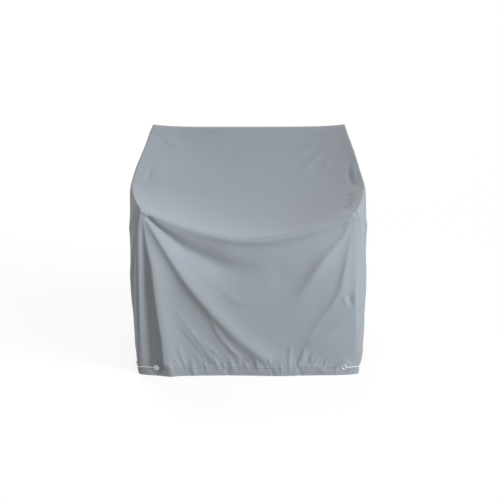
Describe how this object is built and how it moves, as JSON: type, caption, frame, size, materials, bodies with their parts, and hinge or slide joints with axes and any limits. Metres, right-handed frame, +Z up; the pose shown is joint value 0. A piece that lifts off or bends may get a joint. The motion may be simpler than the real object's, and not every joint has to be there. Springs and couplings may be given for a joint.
{
  "type": "outdoor armchair cover, fitted cloth",
  "caption": "Hollow fitted cloth cover for an armchair: a centre panel sagging between the arms, two side panels, and corner eyelets drawn by short elastic cords.",
  "frame": {"origin": "under the middle of the cover, at the level of the hem", "axes": "+X to the cover's right as seen from the front, +Y from the front to the back, +Z up"},
  "size_m": [0.8902, 0.8263, 0.7855],
  "materials": {
    "cover_cloth": "coated woven polyester, matt with a faint sheen",
    "eyelet_metal": "rolled, bright",
    "cord_elastic": "braided white elastic"
  },
  "bodies": {
    "root": {"centre_panel": "cover_cloth", "side_panel_left": "cover_cloth", "side_panel_right": "cover_cloth", "eyelet_front_left": "eyelet_metal", "eyelet_front_right": "eyelet_metal", "eyelet_side_left": "eyelet_metal", "eyelet_side_right": "eyelet_metal", "cord_left": "cord_elastic", "cord_right": "cord_elastic"}
  },
  "joints": []
}
